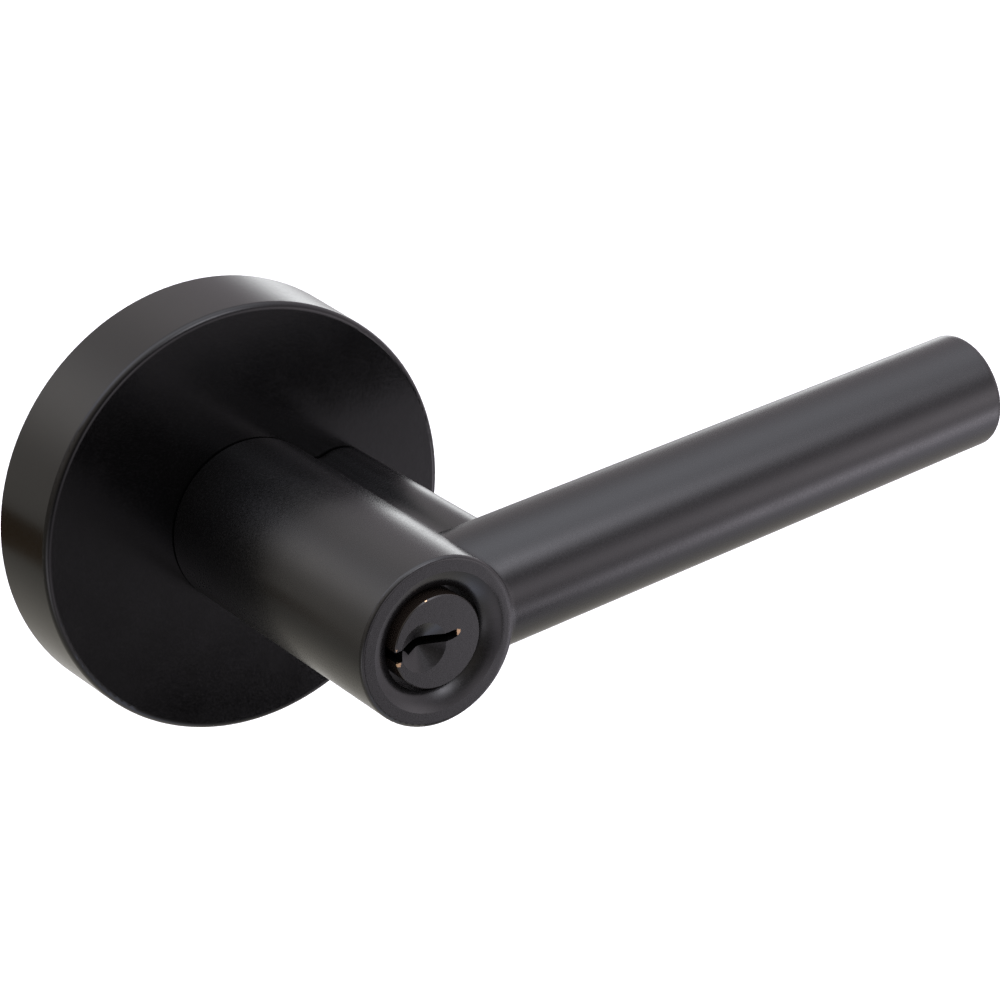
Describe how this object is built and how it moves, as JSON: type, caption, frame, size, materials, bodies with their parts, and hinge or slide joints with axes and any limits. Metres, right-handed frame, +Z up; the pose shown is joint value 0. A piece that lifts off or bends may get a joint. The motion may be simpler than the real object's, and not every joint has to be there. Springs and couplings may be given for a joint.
{
  "type": "lever handle lockset",
  "caption": "Round-rose door lever with a keyed cylinder in its hub, a straight round bar and a sprung return, as the outside half of a lockset.",
  "frame": {"origin": "centre of the rosette's back face, on the spindle axis", "axes": "+Y into the door, +X along the lever bar towards its tip, +Z up; the trim stands out towards -Y"},
  "size_m": [0.1342, 0.1085, 0.066],
  "materials": {
    "black_coating": "satin black powder coat over a zinc casting",
    "coated_brass": "satin black coat over brass, worn to brass at the keyway's edges",
    "brass": "turned and drilled, uncoated",
    "zinc_casting": "raw die casting",
    "plated_steel": "zinc plated",
    "spring_steel": "oiled wire",
    "nylon": "moulded natural nylon"
  },
  "bodies": {
    "trim": {"rosette_cover": "black_coating", "mounting_plate": "zinc_casting", "rosette_snap_ring": "spring_steel", "mounting_posts": "plated_steel", "spring_cage_cover": "plated_steel", "cover_screws": "plated_steel", "bearing_bush": "nylon", "front_bush": "nylon", "return_spring": "spring_steel"},
    "lever": {"lever_handle": "black_coating", "drive_sleeve": "plated_steel", "drive_cam": "plated_steel", "thrust_washer": "plated_steel", "sleeve_circlip": "spring_steel", "spindle": "plated_steel", "catch_spring": "spring_steel", "cylinder_housing": "brass", "tower_cover": "brass", "driver_pin_1": "brass", "driver_pin_2": "brass", "driver_pin_3": "brass", "driver_pin_4": "brass", "driver_pin_5": "brass", "pin_spring_1": "spring_steel", "pin_spring_2": "spring_steel", "pin_spring_3": "spring_steel", "pin_spring_4": "spring_steel", "pin_spring_5": "spring_steel"},
    "plug": {"key_plug": "coated_brass", "plug_clip": "spring_steel", "tailpiece": "plated_steel", "key_pin_1": "brass", "key_pin_2": "brass", "key_pin_3": "brass", "key_pin_4": "brass", "key_pin_5": "brass"},
    "catch": {"lever_catch": "plated_steel"}
  },
  "joints": [
    {"name": "lever_turn", "type": "hinge", "parent": "trim", "child": "lever", "pos_m": [0, 0, 0], "axis": [0, 1, 0], "range_deg": [-45, 45], "stiffness_Nm_per_rad": 1.2, "springref_deg": -4.58, "deforming": ["return_spring"]},
    {"name": "key_turn", "type": "hinge", "parent": "lever", "child": "plug", "pos_m": [0, 0, 0], "axis": [0, 1, 0], "range_deg": [-90, 90]},
    {"name": "catch_press", "type": "slide", "parent": "lever", "child": "catch", "axis": [0, 0, 1], "range_m": [0, 0.0017], "stiffness_N_per_m": 900, "springref_m": -0.001, "deforming": ["catch_spring"]}
  ]
}
